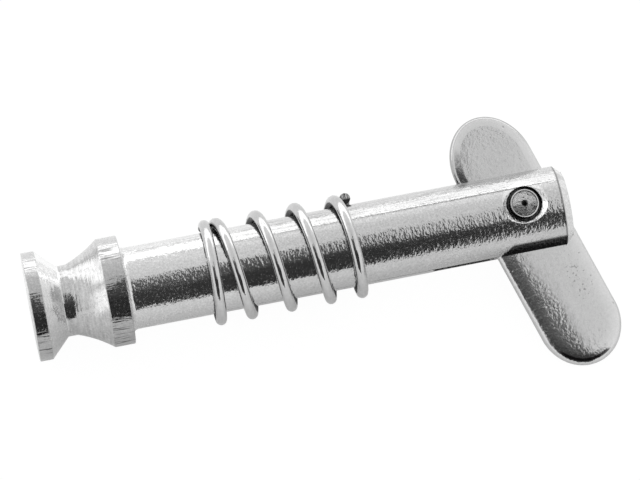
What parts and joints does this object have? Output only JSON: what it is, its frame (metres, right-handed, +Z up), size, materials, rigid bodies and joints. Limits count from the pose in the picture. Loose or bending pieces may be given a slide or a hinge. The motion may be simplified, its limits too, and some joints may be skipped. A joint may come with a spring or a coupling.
{
  "type": "toggle clevis pin",
  "caption": "Headed steel clevis pin with a swinging toggle plate riveted in its slotted end and a loose compression spring round its shank.",
  "frame": {"origin": "centre of the collar's bearing face, on the pin's axis", "axes": "+X along the shank towards the toggle, +Z up as the pin lies at rest"},
  "size_m": [0.0422, 0.0186, 0.008],
  "materials": {
    "pin_steel": "turned",
    "rivet_steel": "satin",
    "toggle_steel": "satin, tumbled",
    "spring_steel": "drawn wire"
  },
  "bodies": {
    "pin": {"pin_body": "pin_steel", "rivet": "rivet_steel"},
    "toggle": {"toggle": "toggle_steel"},
    "spring": {"spring": "spring_steel"}
  },
  "joints": [
    {"name": "toggle_swing", "type": "hinge", "parent": "pin", "child": "toggle", "pos_m": [0.02958, 0.00036, 0.00011], "axis": [0, -0.3008, 0.9537], "range_deg": [-54, 206]},
    {"name": "spring_slide", "type": "slide", "parent": "pin", "child": "spring", "axis": [1, 0, 0], "range_m": [-0.0055, 0.003]}
  ]
}
